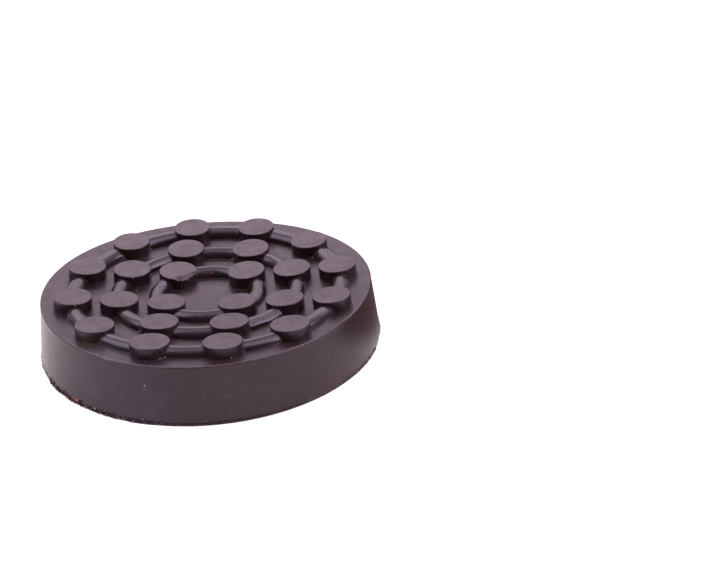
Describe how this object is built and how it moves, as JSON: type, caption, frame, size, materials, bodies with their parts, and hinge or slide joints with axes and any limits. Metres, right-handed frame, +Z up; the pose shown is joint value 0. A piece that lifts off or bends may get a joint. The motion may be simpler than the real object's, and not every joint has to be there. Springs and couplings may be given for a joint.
{
  "type": "jack pad",
  "caption": "Round rubber pad for a vehicle jack or lift, with a dished, ribbed face of flat-topped studs above and a lipped recess below that snaps over a lifting plate.",
  "frame": {"origin": "centre of the base, in the plane that the pad stands on", "axes": "+Z up along the pad's axis, out of the studded face; -Y towards the side that the picture shows"},
  "size_m": [0.1212, 0.1212, 0.0239],
  "materials": {
    "rubber": "moulded, satin"
  },
  "bodies": {
    "root": {"jack_pad": "rubber"}
  },
  "joints": []
}
